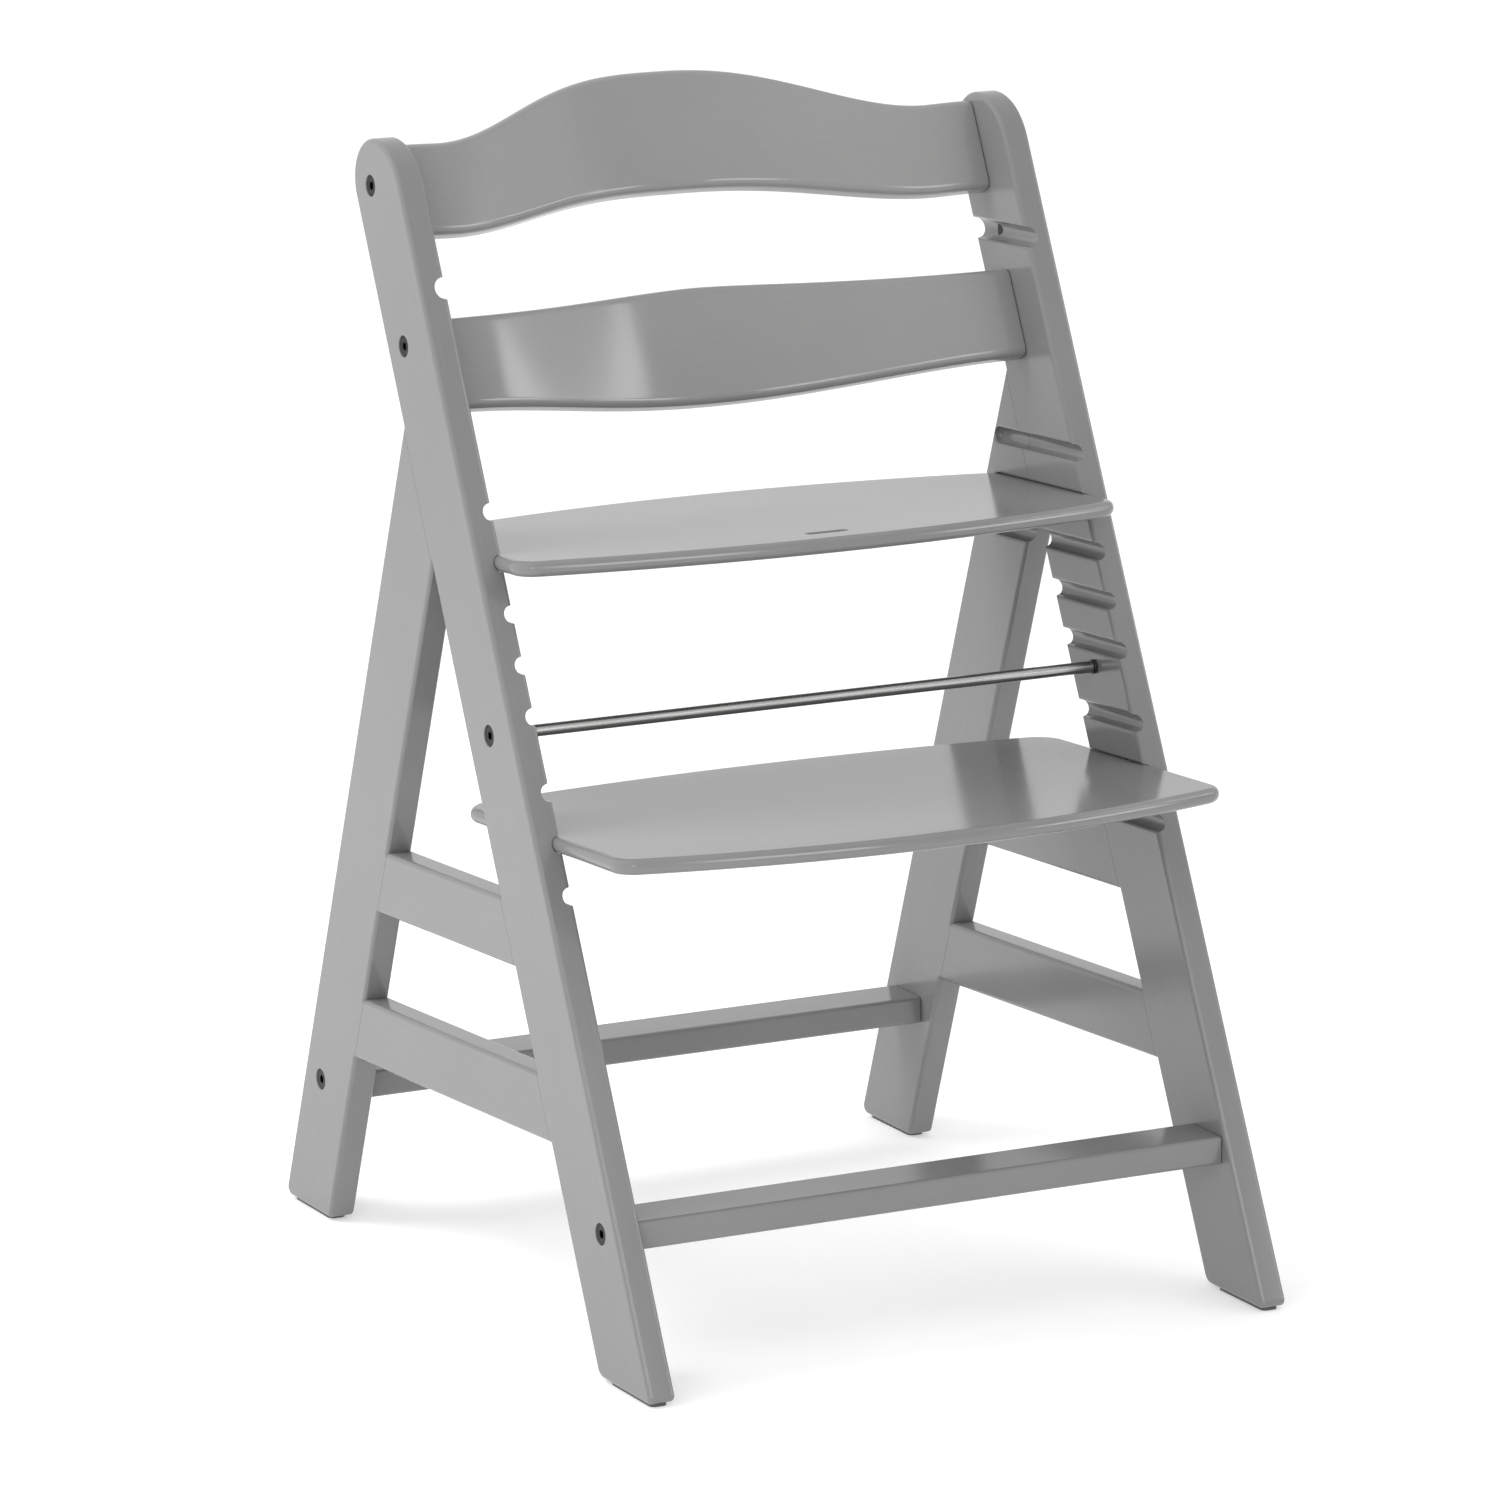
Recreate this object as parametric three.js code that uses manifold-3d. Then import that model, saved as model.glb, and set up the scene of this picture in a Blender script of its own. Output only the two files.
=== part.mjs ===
// Baby high chair: two flat side frames joined by crossbars, a tie rod and two curved backrests,
// with a seat board and a foot board that slide in grooves in the side frames.
// Millimetres. +X is the sitter's left, -Y is the front, +Z is up. The origin is the middle of the
// footprint, on the floor. "right" is the +X side and "left" is the -X side, seen from the front.

import * as THREE from "three";
import { mergeVertices } from "three/addons/utils/BufferGeometryUtils.js";
import Module from "manifold-3d";

const manifoldLibrary = await Module();
manifoldLibrary.setup();

// ---------------------------------------------------------------- driving dimensions

const gap = 0.3; // clearance between pieces that touch
const glideHeight = 2; // plastic glide under each foot
const lift = glideHeight + gap; // wood starts this far above the floor

const outerX = 235; // outer face of a side frame
const sideThickness = 19;
const innerX = outerX - sideThickness;
const edgeRound = 3; // rounding of the long wooden edges
const endRound = 4; // rounding of a foot's front corner

const footDepth = 554; // front of the front foot to the back of the rear foot
const postLean = 0.488; // how far the post leans back for each millimetre of height
const postWidth = 74; // post, measured level
const postTop = 754;
const postTopRearRound = 28.4;
const postHeelRound = 9;
const legLean = 0.353; // how far the rear leg leans forward for each millimetre of height
const legWidth = 71.8;
const legHeelRound = 6;
const fall = 0.0482; // grooves, boards and side rails fall this much towards the back

const railHeight = 43.5;
const upperRailLevel = 260.6; // middle of the rail where it crosses the chair's middle
const lowerRailLevel = 153.0;

const groovePitch = 30.9;
const footGrooveLow = 298.2; // groove heights are at the post's front edge
const seatGrooveLow = 405.2;
const accessoryGroove = 665;
const pinHoleRadius = 3.7; // blind hole in the accessory groove, for a locking pin
const pinHoleDepth = 12;
const pinHoleShare = 0.68; // how far across the post the pin hole lies
const grooveRadius = 5.5;
const accessoryGrooveRadius = 6.8;
const grooveLip = 2.2;
const grooveLipDepth = 1.6;
const grooveStop = 84; // centre of the closed rear end of the upper grooves
const openSeatGrooves = 2; // the seat's lowest grooves run right through, the others stop

const boardThickness = 10.4;
const seatEdges = { front: -98, frontBow: 27.9, rear: 124.5, rearBow: 33.5, frontRound: 17, rearRound: 24 };
const footEdges = { front: -246, frontBow: 35.8, rear: 39.5, rearBow: 20, frontRound: 18, rearRound: 24 };
const strapSlot = { y: -72, length: 30, width: 6, round: 2.9 };
const seatGroove = seatGrooveLow + 3 * groovePitch;
const footGroove = footGrooveLow + groovePitch;

const slatThickness = 18;
const slatFace = -1.6; // front face of a backrest's end, behind the post's centre line
const slatBow = 39.5; // how far the middle of a backrest lies behind its ends, in a wave
const slatBowPower = 1.1;
// Heights of the backrests' edges along the post, and how much each edge rises in the middle.
const topSlat = { bottom: 770, bottomRise: 28, top: 833, topRise: 49, waveReach: 186, wavePower: 1.27 };
const lowerSlat = { bottom: 651.4, bottomRise: -2.3, top: 713, topRise: 16.8, wavePower: 0.9 };
const slatFasteners = { topBolt: 808.5, topDowel: 787, lowerBolt: 698.5, lowerDowel: 669 };

const crossbarDepth = 40;
const crossbarHeight = 19;
const crossbarLevel = 95.5;
const frontCrossbarY = -202.5;
const rearCrossbarY = 208;
const crossbarRound = 2.5;

const rodRadius = 4;
const rodY = -49.3;
const rodLevel = 388.8;
const rodRingThickness = 2.2;
const rodRingRadius = rodRadius + 0.9;

const shankRadius = 3; // M6 bolts
const rodShankRadius = 2.5; // M5 bolts in the ends of the tie rod
const headRadius = 6.8;
const headHeight = 4.5;
const headRecess = 0.8; // the bolt heads sit this far below the outer face
const socketWidth = 5; // across the flats
const socketDepth = 2.5;
const nutRadius = 5;
const nutLength = 10;
const nutShift = 1.5; // the nuts lie this far towards the open end of their holes
const dowelRadius = 4;

const glideLength = 58;
const glideWidth = 12;
const glideRound = 4;
const frontGlideInset = 35; // from the front of the footprint to the middle of the front glide
const rearGlideInset = 37;
const overshoot = 1; // cutters reach this far past the faces they open

const leanAngle = Math.atan(postLean);
const fallAngle = Math.atan(fall);
const frontLine = (z) => -footDepth / 2 + postLean * z;
const postRearLine = (z) => frontLine(z) + postWidth;
const legRearLine = (z) => footDepth / 2 - legLean * z;
const legFrontLine = (z) => legRearLine(z) - legWidth;
const crossingHeight = (a, b) => (a(0) - b(0)) / (b(1) - b(0) - a(1) + a(0));

// ---------------------------------------------------------------- materials

const material = (color, roughness, metalness = 0) =>
  new THREE.MeshStandardMaterial({ color, roughness, metalness });
const lacquer = material(0x9b9b99, 0.38);
const boardLacquer = material(0xa9a9a7, 0.32);
const blackSteel = material(0x16161a, 0.4, 0.8);
const satinSteel = material(0xb9b9b6, 0.28, 1);
const zincSteel = material(0xa5a8ab, 0.35, 1);
const beech = material(0xc8a878, 0.7);
const blackRubber = material(0x111111, 0.6);
const greyPlastic = material(0x55565a, 0.6);

// ---------------------------------------------------------------- helpers

function toSolid(geometry) {
  const bare = geometry.index ? geometry.toNonIndexed() : geometry.clone();
  bare.deleteAttribute("normal");
  bare.deleteAttribute("uv");
  const merged = mergeVertices(bare, 1e-4);
  return new manifoldLibrary.Manifold(
    new manifoldLibrary.Mesh({
      numProp: 3,
      vertProperties: new Float32Array(merged.attributes.position.array),
      triVerts: new Uint32Array(merged.index.array),
    }),
  );
}

function toGeometry(solid) {
  const mesh = solid.getMesh();
  const geometry = new THREE.BufferGeometry();
  geometry.setAttribute("position", new THREE.BufferAttribute(mesh.vertProperties, 3));
  geometry.setIndex(new THREE.BufferAttribute(mesh.triVerts, 1));
  geometry.computeVertexNormals();
  return geometry;
}

function mirrored(geometry) {
  const copy = geometry.clone().scale(-1, 1, 1);
  const index = copy.index.array;
  for (let i = 0; i < index.length; i += 3) {
    [index[i], index[i + 1]] = [index[i + 1], index[i]];
  }
  copy.computeVertexNormals();
  return copy;
}

// An outline from corners [x, y, radius]. A rounded corner becomes an arc in steps of 20 degrees or less.
const arcStep = Math.PI / 9;

function roundedOutline(corners) {
  const points = [];
  corners.forEach(([x, y, radius], i) => {
    const corner = new THREE.Vector2(x, y);
    if (!radius) {
      points.push(corner);
      return;
    }
    const [beforeX, beforeY] = corners.at(i - 1);
    const [afterX, afterY] = corners[(i + 1) % corners.length];
    const toBefore = new THREE.Vector2(beforeX, beforeY).sub(corner).normalize();
    const toAfter = new THREE.Vector2(afterX, afterY).sub(corner).normalize();
    const halfAngle = Math.acos(toBefore.dot(toAfter)) / 2;
    const centre = toBefore.clone().add(toAfter).setLength(radius / Math.sin(halfAngle)).add(corner);
    const start = toBefore.clone().multiplyScalar(radius / Math.tan(halfAngle)).add(corner).sub(centre);
    const turn = (Math.PI - 2 * halfAngle) * Math.sign(toAfter.cross(toBefore));
    const steps = Math.ceil(Math.abs(turn) / arcStep);
    for (let step = 0; step <= steps; step++) {
      points.push(start.clone().rotateAround(new THREE.Vector2(), (turn * step) / steps).add(centre));
    }
  });
  return points;
}

const shapeOf = (corners) => new THREE.Shape(roundedOutline(corners));

// Turns a geometry drawn in (y, z) and extruded upwards into one extruded along +X.
const acrossX = new THREE.Matrix4().makeBasis(
  new THREE.Vector3(0, 1, 0),
  new THREE.Vector3(0, 0, 1),
  new THREE.Vector3(1, 0, 0),
);

function prismAlongX(shape, fromX, toX, round = 0) {
  return new THREE.ExtrudeGeometry(shape, {
    depth: toX - fromX - 2 * round,
    bevelEnabled: round > 0,
    bevelThickness: round,
    bevelSize: round,
    bevelOffset: -round,
    bevelSegments: 2,
  })
    .translate(0, 0, round)
    .applyMatrix4(acrossX)
    .translate(fromX, 0, 0);
}

// A turned piece along +X, from profile points [x, radius] that start and end on the axis.
function turnedAlongX(profile, segments) {
  const points = profile.map(([x, radius]) => new THREE.Vector2(radius, x));
  return new THREE.LatheGeometry(points, segments).rotateZ(-Math.PI / 2);
}

const rodAlongX = (radius, fromX, toX, segments = 16) =>
  turnedAlongX([[fromX, 0], [fromX, radius], [toX, radius], [toX, 0]], segments);

const cutAll = (solid, cutters) => cutters.reduce((rest, cutter) => rest.subtract(cutter), solid);

// ---------------------------------------------------------------- chair and left-right pairs

const chair = new THREE.Group();
chair.position.z = lift;

function addPart(name, geometry, look) {
  const mesh = new THREE.Mesh(geometry, look);
  mesh.name = name;
  chair.add(mesh);
}

function addPair(name, geometry, look) {
  const indexed = geometry.index ? geometry : mergeVertices(geometry);
  addPart(`right_${name}`, indexed, look);
  addPart(`left_${name}`, mirrored(indexed), look);
}

// ---------------------------------------------------------------- fastener places

// A place on the post's centre line: u is how far behind it, v is how far up along it.
function onPost(u, v) {
  const y = u * Math.cos(leanAngle) + v * Math.sin(leanAngle) - footDepth / 2 + postWidth / 2;
  const z = v * Math.cos(leanAngle) - u * Math.sin(leanAngle);
  return { y, z };
}

const slatPinLine = 8.5; // bolts and dowels of the backrests, behind the post's centre line
const slatNutInset = 14;
const crossbarNutInset = 22;
const tipPastNut = 5;

const joints = [
  {
    name: "top_backrest",
    bolt: onPost(slatPinLine, slatFasteners.topBolt),
    dowel: onPost(slatPinLine, slatFasteners.topDowel),
    nutInset: slatNutInset,
    nutTurn: leanAngle - Math.PI / 2,
  },
  {
    name: "lower_backrest",
    bolt: onPost(slatPinLine, slatFasteners.lowerBolt),
    dowel: onPost(slatPinLine, slatFasteners.lowerDowel),
    nutInset: slatNutInset,
    nutTurn: leanAngle - Math.PI / 2,
  },
  {
    name: "front_crossbar",
    bolt: { y: frontCrossbarY - 4, z: crossbarLevel },
    dowel: { y: frontCrossbarY + 12, z: crossbarLevel },
    nutInset: crossbarNutInset,
    nutTurn: 0,
  },
  {
    name: "rear_crossbar",
    bolt: { y: rearCrossbarY + 9, z: crossbarLevel },
    dowel: { y: rearCrossbarY - 9, z: crossbarLevel },
    nutInset: crossbarNutInset,
    nutTurn: 0,
  },
];
const dowelInPost = 8;
const dowelInBar = 13;
const headInnerX = outerX - headRecess - headHeight;
const rodBoltReach = 20;
const rodEndX = innerX - 2 * gap - rodRingThickness;

// ---------------------------------------------------------------- side frame

const wedgeTop = crossingHeight(postRearLine, legRearLine);
const wedgeBottom = crossingHeight(postRearLine, legFrontLine);
const railEdge = (level) => (y) => level - fall * y;

// Where a line that leans with height meets a rail edge that falls towards the back.
function meet(lean, railLine) {
  const slope = lean(1) - lean(0);
  const z = (railLine(0) - fall * lean(0)) / (1 + fall * slope);
  return [lean(z), z, 0];
}

function sideOutline() {
  const topTangent = Math.tan((Math.PI / 2 + leanAngle) / 2) * postTopRearRound;
  const postTopFrontRound = (postWidth - topTangent) / Math.tan((Math.PI / 2 - leanAngle) / 2);
  const under = railEdge(lowerRailLevel - railHeight / 2);
  const shape = shapeOf([
    [frontLine(0), 0, endRound],
    [postRearLine(0), 0, postHeelRound],
    meet(postRearLine, under),
    meet(legFrontLine, under),
    [legFrontLine(0), 0, endRound],
    [legRearLine(0), 0, legHeelRound],
    [legRearLine(wedgeTop), wedgeTop, 0],
    [postRearLine(postTop), postTop, postTopRearRound],
    [frontLine(postTop), postTop, postTopFrontRound],
  ]);
  const middleTop = railEdge(upperRailLevel - railHeight / 2);
  const middleBottom = railEdge(lowerRailLevel + railHeight / 2);
  const upperBottom = railEdge(upperRailLevel + railHeight / 2);
  shape.holes.push(
    new THREE.Path(
      roundedOutline([
        meet(postRearLine, middleBottom),
        meet(postRearLine, middleTop),
        meet(legFrontLine, middleTop),
        meet(legFrontLine, middleBottom),
      ]),
    ),
    new THREE.Path(
      roundedOutline([
        meet(postRearLine, upperBottom),
        [postRearLine(wedgeBottom), wedgeBottom, 0],
        meet(legFrontLine, upperBottom),
      ]),
    ),
  );
  return shape;
}

// Cutter for one groove. It runs along the groove's line and may stop in a rounded end.
function grooveCutter(height, stopY, radius = grooveRadius) {
  const arcSteps = 6;
  const mouth = radius + grooveLip;
  const profile = [new THREE.Vector2(-overshoot, -mouth), new THREE.Vector2(0, -mouth)];
  for (let step = 0; step <= arcSteps; step++) {
    const angle = -Math.PI / 2 + (Math.PI * step) / arcSteps;
    profile.push(
      new THREE.Vector2(grooveLipDepth + radius * Math.cos(angle), radius * Math.sin(angle)),
    );
  }
  profile.push(new THREE.Vector2(0, mouth), new THREE.Vector2(-overshoot, mouth));
  const frontY = frontLine(height);
  const runOut = 12;
  const rearY = stopY ?? postRearLine(height) + 8;
  const length = (rearY - frontY + runOut) / Math.cos(fallAngle);
  const straight = new THREE.ExtrudeGeometry(new THREE.Shape(profile), {
    depth: length,
    bevelEnabled: false,
  })
    .rotateX(Math.PI / 2 - fallAngle)
    .translate(innerX, rearY, height - fall * (rearY - frontY));
  const cutter = toSolid(straight);
  if (stopY === undefined) return cutter;
  const half = profile.slice(arcSteps / 2 + 2).map((point) => [point.x, Math.max(0, point.y)]);
  half[0][1] = 0;
  half.push([-overshoot, 0]);
  const end = turnedAlongX(half.reverse(), 12)
    .rotateX(-fallAngle)
    .translate(innerX, stopY, height - fall * (stopY - frontY));
  return cutter.add(toSolid(end));
}

function sideHoles() {
  const holes = [];
  const places = joints.map((joint) => joint.bolt);
  places.push({ y: rodY, z: rodLevel });
  for (const { y, z } of places) {
    holes.push(
      turnedAlongX(
        [
          [innerX - overshoot, 0],
          [innerX - overshoot, shankRadius + gap],
          [headInnerX - gap, shankRadius + gap],
          [headInnerX - gap, headRadius + gap],
          [outerX + overshoot, headRadius + gap],
          [outerX + overshoot, 0],
        ],
        16,
      ).translate(0, y, z),
    );
  }
  for (const { dowel } of joints) {
    const dowelHole = rodAlongX(dowelRadius + gap, innerX - overshoot, innerX + dowelInPost + gap, 12);
    holes.push(dowelHole.translate(0, dowel.y, dowel.z));
  }
  const pinInset = postWidth * pinHoleShare;
  const pinHole = rodAlongX(pinHoleRadius, innerX, innerX + pinHoleDepth, 16);
  holes.push(
    pinHole.translate(0, frontLine(accessoryGroove) + pinInset, accessoryGroove - fall * pinInset),
  );
  return holes.map(toSolid);
}

const tenonThickness = 6;
const tenonMiddleX = outerX - 8; // clear of the grooves and bolt holes
const tenonLength = 14;
const tenonHeight = 24;
const wedgeTenonHeight = 56;

// A box whose middle lies at (y, z), with its length along the direction that rises by "angle".
function tenonBlock(y, z, angle, length, height, slack) {
  return toSolid(
    new THREE.BoxGeometry(tenonThickness + 2 * slack, length + 2 * slack, height + 2 * slack)
      .rotateX(angle)
      .translate(tenonMiddleX, y, z),
  );
}

const margin = 10; // cutting slabs reach this far past the side frame

// A slab that keeps what lies between two leaning lines.
function between(rearOf, frontOf) {
  const low = -margin;
  const high = postTop + 4 * margin;
  return toSolid(
    prismAlongX(
      shapeOf([
        [rearOf(low), low, 0],
        [frontOf(low), low, 0],
        [frontOf(high), high, 0],
        [rearOf(high), high, 0],
      ]),
      innerX - margin,
      outerX + margin,
    ),
  );
}

function buildSideFrame() {
  const grooves = [grooveCutter(accessoryGroove, undefined, accessoryGrooveRadius)];
  for (let step = 0; step < 3; step++) {
    grooves.push(grooveCutter(footGrooveLow + step * groovePitch));
  }
  for (let step = 0; step < 5; step++) {
    const stopY = step < openSeatGrooves ? undefined : grooveStop;
    grooves.push(grooveCutter(seatGrooveLow + step * groovePitch, stopY));
  }
  const blank = toSolid(prismAlongX(sideOutline(), innerX, outerX, edgeRound));
  const drilled = cutAll(blank, [...grooves, ...sideHoles()]);

  const seam = gap / 2;
  const farFront = () => -footDepth;
  const farRear = () => footDepth;
  const behindPost = drilled.intersect(between((z) => postRearLine(z) + seam, farRear));
  const railsAndWaste = behindPost.intersect(between(farFront, (z) => legFrontLine(z) - seam));
  const post = drilled.intersect(between(farFront, (z) => postRearLine(z) - seam));
  const leg = behindPost.intersect(between((z) => legFrontLine(z) + seam, farRear));

  const railBand = (level) => {
    const reach = footDepth / 2;
    const drop = reach * fall;
    return toSolid(
      prismAlongX(
        shapeOf([
          [-reach, level + drop - railHeight, 0],
          [reach, level - drop - railHeight, 0],
          [reach, level - drop + railHeight, 0],
          [-reach, level + drop + railHeight, 0],
        ]),
        innerX - margin,
        outerX + margin,
      ),
    );
  };

  const railTenons = (level, slack) => {
    const [frontY, frontZ] = meet(postRearLine, railEdge(level));
    const [rearY, rearZ] = meet(legFrontLine, railEdge(level));
    return tenonBlock(frontY, frontZ, -fallAngle, 2 * tenonLength, tenonHeight, slack).add(
      tenonBlock(rearY, rearZ, -fallAngle, 2 * tenonLength, tenonHeight, slack),
    );
  };
  const wedgeMiddle = (wedgeTop + wedgeBottom) / 2;
  const wedgeY = postRearLine(wedgeMiddle);
  const wedgeTenon = (slack) =>
    tenonBlock(wedgeY, wedgeMiddle, -leanAngle, 2 * tenonLength, wedgeTenonHeight, slack);

  const pieces = { post: post.subtract(wedgeTenon(gap)), leg: leg.add(wedgeTenon(0)) };
  for (const [name, level] of [["upper_rail", upperRailLevel], ["lower_rail", lowerRailLevel]]) {
    pieces[name] = railsAndWaste.intersect(railBand(level)).add(railTenons(level, 0));
    pieces.post = pieces.post.subtract(railTenons(level, gap));
    pieces.leg = pieces.leg.subtract(railTenons(level, gap));
  }
  return pieces;
}

const side = buildSideFrame();
addPair("front_post", toGeometry(side.post), lacquer);
addPair("rear_leg", toGeometry(side.leg), lacquer);
addPair("upper_rail", toGeometry(side.upper_rail), lacquer);
addPair("lower_rail", toGeometry(side.lower_rail), lacquer);

// ---------------------------------------------------------------- holes in the cross pieces

function barHoles(joint) {
  const { bolt, dowel, nutInset, nutTurn } = joint;
  const nutX = innerX - nutInset;
  const boltTip = nutX - nutRadius - tipPastNut;
  const boltHole = rodAlongX(shankRadius + gap, boltTip, innerX + overshoot, 12);
  const dowelHole = rodAlongX(dowelRadius + gap, innerX - dowelInBar - gap, innerX + overshoot, 12);
  const nutHoleLength = 40;
  const holes = [
    boltHole.translate(0, bolt.y, bolt.z),
    dowelHole.translate(0, dowel.y, dowel.z),
    new THREE.CylinderGeometry(nutRadius + gap, nutRadius + gap, nutHoleLength, 16)
      .rotateX(Math.PI / 2)
      .translate(0, 0, nutLength / 2 + gap - nutShift - nutHoleLength / 2)
      .rotateX(-nutTurn)
      .translate(nutX, bolt.y, bolt.z),
  ];
  return holes.flatMap((hole) => [toSolid(hole), toSolid(mirrored(mergeVertices(hole)))]);
}

function addJointHardware(joint) {
  const { name, bolt, dowel, nutInset, nutTurn } = joint;
  const nutX = innerX - nutInset;
  addBolt(name, bolt, shankRadius, nutX - nutRadius - tipPastNut + gap);
  const nut = toSolid(
    new THREE.CylinderGeometry(nutRadius, nutRadius, nutLength, 16)
      .rotateX(Math.PI / 2)
      .translate(0, 0, -nutShift)
      .rotateX(-nutTurn)
      .translate(nutX, bolt.y, bolt.z),
  );
  const nutBore = rodAlongX(shankRadius + gap, nutX - 2 * nutRadius, nutX + 2 * nutRadius, 12);
  const boredNut = nut.subtract(toSolid(nutBore.translate(0, bolt.y, bolt.z)));
  addPair(`${name}_nut`, toGeometry(boredNut), zincSteel);
  const dowelPin = rodAlongX(dowelRadius, innerX - dowelInBar, innerX + dowelInPost, 12);
  addPair(`${name}_dowel`, dowelPin.translate(0, dowel.y, dowel.z), beech);
}

function addBolt(name, { y, z }, radius, tipX) {
  const headOuterX = headInnerX + headHeight;
  const body = turnedAlongX(
    [
      [tipX, 0],
      [tipX, radius],
      [headInnerX, radius],
      [headInnerX, headRadius],
      [headOuterX, headRadius],
      [headOuterX, 0],
    ],
    16,
  );
  const cutterLength = socketDepth + overshoot;
  const cutterRadius = socketWidth / Math.sqrt(3);
  const socket = new THREE.CylinderGeometry(cutterRadius, cutterRadius, cutterLength, 6)
    .rotateZ(Math.PI / 2)
    .translate(headOuterX + overshoot - cutterLength / 2, 0, 0);
  const bolt = toSolid(body).subtract(toSolid(socket));
  addPair(`${name}_bolt`, toGeometry(bolt).translate(0, y, z), blackSteel);
}

// ---------------------------------------------------------------- backrests

// The wave of a backrest's edge: 1 in the middle, 0 from "reach" outwards.
const wave = (x, reach, power) =>
  (1 + Math.cos(Math.PI * Math.min(1, Math.abs(x) / reach) ** power)) / 2;

function buildBackrest(slatEdges, joint) {
  const { bottom, bottomRise, top, topRise, waveReach = innerX, wavePower = 1 } = slatEdges;
  const bottomEdge = (x) => bottom + bottomRise * wave(x, waveReach, wavePower);
  const topEdge = (x) => top + topRise * wave(x, waveReach, wavePower);
  const steps = 20;
  const endX = innerX - gap;
  const across = Array.from({ length: steps + 1 }, (_, i) => endX * ((2 * i) / steps - 1));
  const bow = (x) => slatBow * wave(x, innerX, slatBowPower);
  const plan = new THREE.Shape([
    ...across.map((x) => new THREE.Vector2(x, slatFace + bow(x))),
    ...across.toReversed().map((x) => new THREE.Vector2(x, slatFace + slatThickness + bow(x))),
  ]);
  const face = new THREE.Shape([
    ...across.map((x) => new THREE.Vector2(x, bottomEdge(x))),
    ...across.toReversed().map((x) => new THREE.Vector2(x, topEdge(x))),
  ]);
  const bandHeight = 1000; // more than any slat edge
  const outlineDepth = 200; // more than the bow and the thickness together, on each side
  const bentBand = new THREE.ExtrudeGeometry(plan, { depth: bandHeight, bevelEnabled: false });
  const outline = new THREE.ExtrudeGeometry(face, { depth: outlineDepth, bevelEnabled: false })
    .rotateX(Math.PI / 2)
    .translate(0, outlineDepth / 2, 0);
  const slat = toSolid(bentBand)
    .intersect(toSolid(outline))
    .rotate([(-leanAngle * 180) / Math.PI, 0, 0])
    .translate([0, (postWidth - footDepth) / 2, 0]);
  return cutAll(slat, barHoles(joint));
}

const [topJoint, lowerJoint, frontJoint, rearJoint] = joints;
addPart("top_backrest", toGeometry(buildBackrest(topSlat, topJoint)), lacquer);
addPart("lower_backrest", toGeometry(buildBackrest(lowerSlat, lowerJoint)), lacquer);

// ---------------------------------------------------------------- crossbars

function buildCrossbar(middleY, joint) {
  const [front, rear] = [middleY - crossbarDepth / 2, middleY + crossbarDepth / 2];
  const [low, high] = [crossbarLevel - crossbarHeight / 2, crossbarLevel + crossbarHeight / 2];
  const section = shapeOf([
    [front, low, crossbarRound],
    [rear, low, crossbarRound],
    [rear, high, crossbarRound],
    [front, high, crossbarRound],
  ]);
  return cutAll(toSolid(prismAlongX(section, gap - innerX, innerX - gap)), barHoles(joint));
}

addPart("front_crossbar", toGeometry(buildCrossbar(frontCrossbarY, frontJoint)), lacquer);
addPart("rear_crossbar", toGeometry(buildCrossbar(rearCrossbarY, rearJoint)), lacquer);
joints.forEach(addJointHardware);

// ---------------------------------------------------------------- tie rod

const rodHoleEnd = rodEndX - rodBoltReach;
const tieRod = turnedAlongX(
  [
    [-rodHoleEnd, 0],
    [-rodHoleEnd, rodShankRadius + gap],
    [-rodEndX, rodShankRadius + gap],
    [-rodEndX, rodRadius],
    [rodEndX, rodRadius],
    [rodEndX, rodShankRadius + gap],
    [rodHoleEnd, rodShankRadius + gap],
    [rodHoleEnd, 0],
  ],
  16,
);
addPart("tie_rod", tieRod.translate(0, rodY, rodLevel), satinSteel);
addBolt("tie_rod", { y: rodY, z: rodLevel }, rodShankRadius, rodHoleEnd + gap);

const ringProfile = [
  [rodEndX + gap, rodShankRadius + gap],
  [rodEndX + gap, rodRingRadius],
  [innerX - gap, rodRingRadius],
  [innerX - gap, rodShankRadius + gap],
  [rodEndX + gap, rodShankRadius + gap],
];
addPair("rod_ring", turnedAlongX(ringProfile, 16).translate(0, rodY, rodLevel), blackRubber);

// ---------------------------------------------------------------- seat board and foot board

// A board's outline: bowed front and rear edges, straight sides in the grooves, rounded corners.
function boardOutline({ front, frontBow, rear, rearBow, frontRound, rearRound }) {
  const halfWidth = innerX + grooveLipDepth + boardThickness / 2 - gap;
  const steps = 8;
  const edgeReach = halfWidth - Math.max(frontRound, rearRound) - 2;
  const across = Array.from({ length: steps + 1 }, (_, i) => edgeReach * ((2 * i) / steps - 1));
  const frontEdge = (x) => front + frontBow * (x / halfWidth) ** 2;
  const rearEdge = (x) => rear - rearBow * (x / halfWidth) ** 2;
  return shapeOf([
    ...across.map((x) => [x, frontEdge(x), 0]),
    [halfWidth, frontEdge(halfWidth), frontRound],
    [halfWidth, rearEdge(halfWidth), rearRound],
    ...across.toReversed().map((x) => [x, rearEdge(x), 0]),
    [-halfWidth, rearEdge(halfWidth), rearRound],
    [-halfWidth, frontEdge(halfWidth), frontRound],
  ]);
}

function buildBoard(outline) {
  const nose = boardThickness / 2 - 0.2; // almost a half round
  return toSolid(
    new THREE.ExtrudeGeometry(outline, {
      depth: boardThickness - 2 * nose,
      bevelThickness: nose,
      bevelSize: nose,
      bevelOffset: -nose,
      bevelSegments: 3,
    }).translate(0, 0, nose - boardThickness / 2),
  );
}

// Lays a board into the groove whose height at the post's front edge is given.
function layInGroove(board, height) {
  return toGeometry(board)
    .rotateX(-fallAngle)
    .translate(0, 0, height + fall * frontLine(height));
}

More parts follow.
